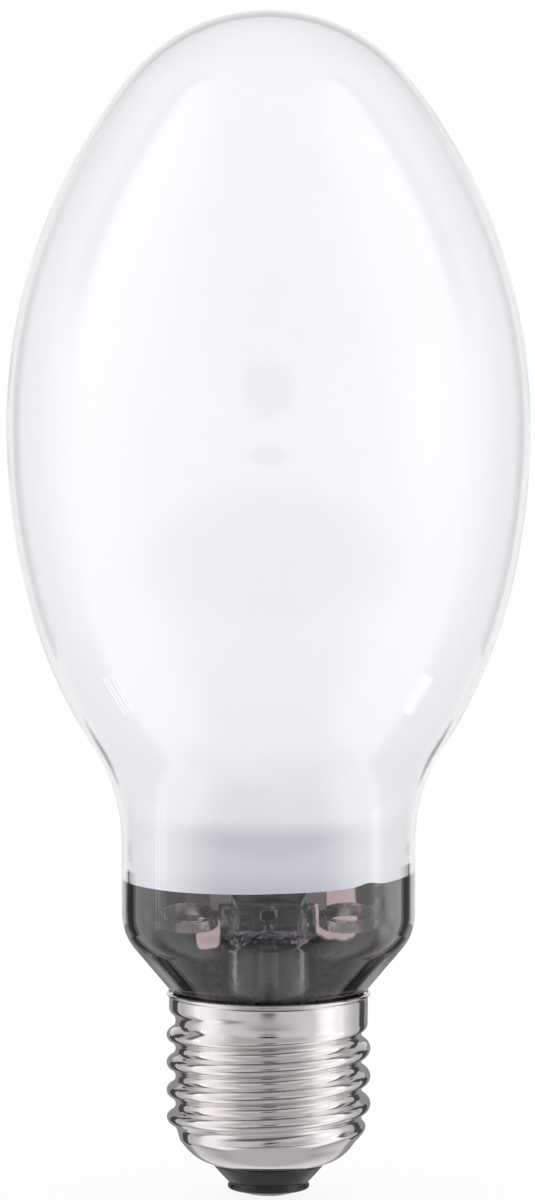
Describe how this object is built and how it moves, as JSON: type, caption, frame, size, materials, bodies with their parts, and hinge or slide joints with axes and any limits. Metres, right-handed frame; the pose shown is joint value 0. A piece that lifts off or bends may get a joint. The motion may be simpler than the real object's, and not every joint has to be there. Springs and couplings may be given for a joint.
{
  "type": "high pressure sodium lamp",
  "caption": "Coated elliptical discharge bulb with a clear neck and a rolled screw cap, for street and area lighting.",
  "frame": {"origin": "centre of the flat tip of the solder pip under the cap, on the lamp's axis", "axes": "+Z along the lamp's axis from the cap to the dome, +X to the right seen from the front, the front towards -Y, the side contact at the back"},
  "size_m": [0.0676, 0.0676, 0.1541],
  "materials": {
    "clear_glass": "clear blown glass",
    "white_coating": "fine matte white powder",
    "nickel_plate": "bright nickel plate on rolled sheet",
    "black_glass": "glossy black moulded glass",
    "contact_plate": "dull plated contact",
    "solder": "dull solder",
    "cement": "baked resin cement",
    "stem_glass": "clear pressed and drawn glass",
    "wire": "drawn wire",
    "strip_steel": "bright rolled strip",
    "getter_steel": "fired getter ring",
    "alumina": "translucent alumina",
    "sealing_frit": "fused sealing frit",
    "niobium": "niobium",
    "tungsten": "tungsten",
    "amalgam": "sodium amalgam"
  },
  "bodies": {
    "root": {"outer_bulb": "clear_glass", "diffusing_coating": "white_coating", "cap_shell": "nickel_plate", "cap_insulator": "black_glass", "centre_contact": "contact_plate", "centre_solder": "solder", "shell_solder": "solder", "capping_cement": "cement", "stem_glass": "stem_glass", "exhaust_tube": "stem_glass", "lead_in_wire_left": "wire", "lead_in_wire_right": "wire", "support_strip_left": "strip_steel", "support_strip_right": "strip_steel", "getter_ring_left": "getter_steel", "getter_ring_right": "getter_steel", "getter_holder_left": "strip_steel", "getter_holder_right": "strip_steel", "frame_rod": "wire", "upper_connector_strap": "strip_steel", "lower_connector_strap": "strip_steel", "dome_spring_left": "strip_steel", "dome_spring_right": "strip_steel", "arc_tube": "alumina", "end_plug_lower": "alumina", "end_plug_upper": "alumina", "seal_ring_lower": "sealing_frit", "seal_ring_upper": "sealing_frit", "feedthrough_lower": "niobium", "feedthrough_upper": "niobium", "electrode_lower": "tungsten", "electrode_upper": "tungsten", "amalgam_pellet": "amalgam"}
  },
  "joints": []
}
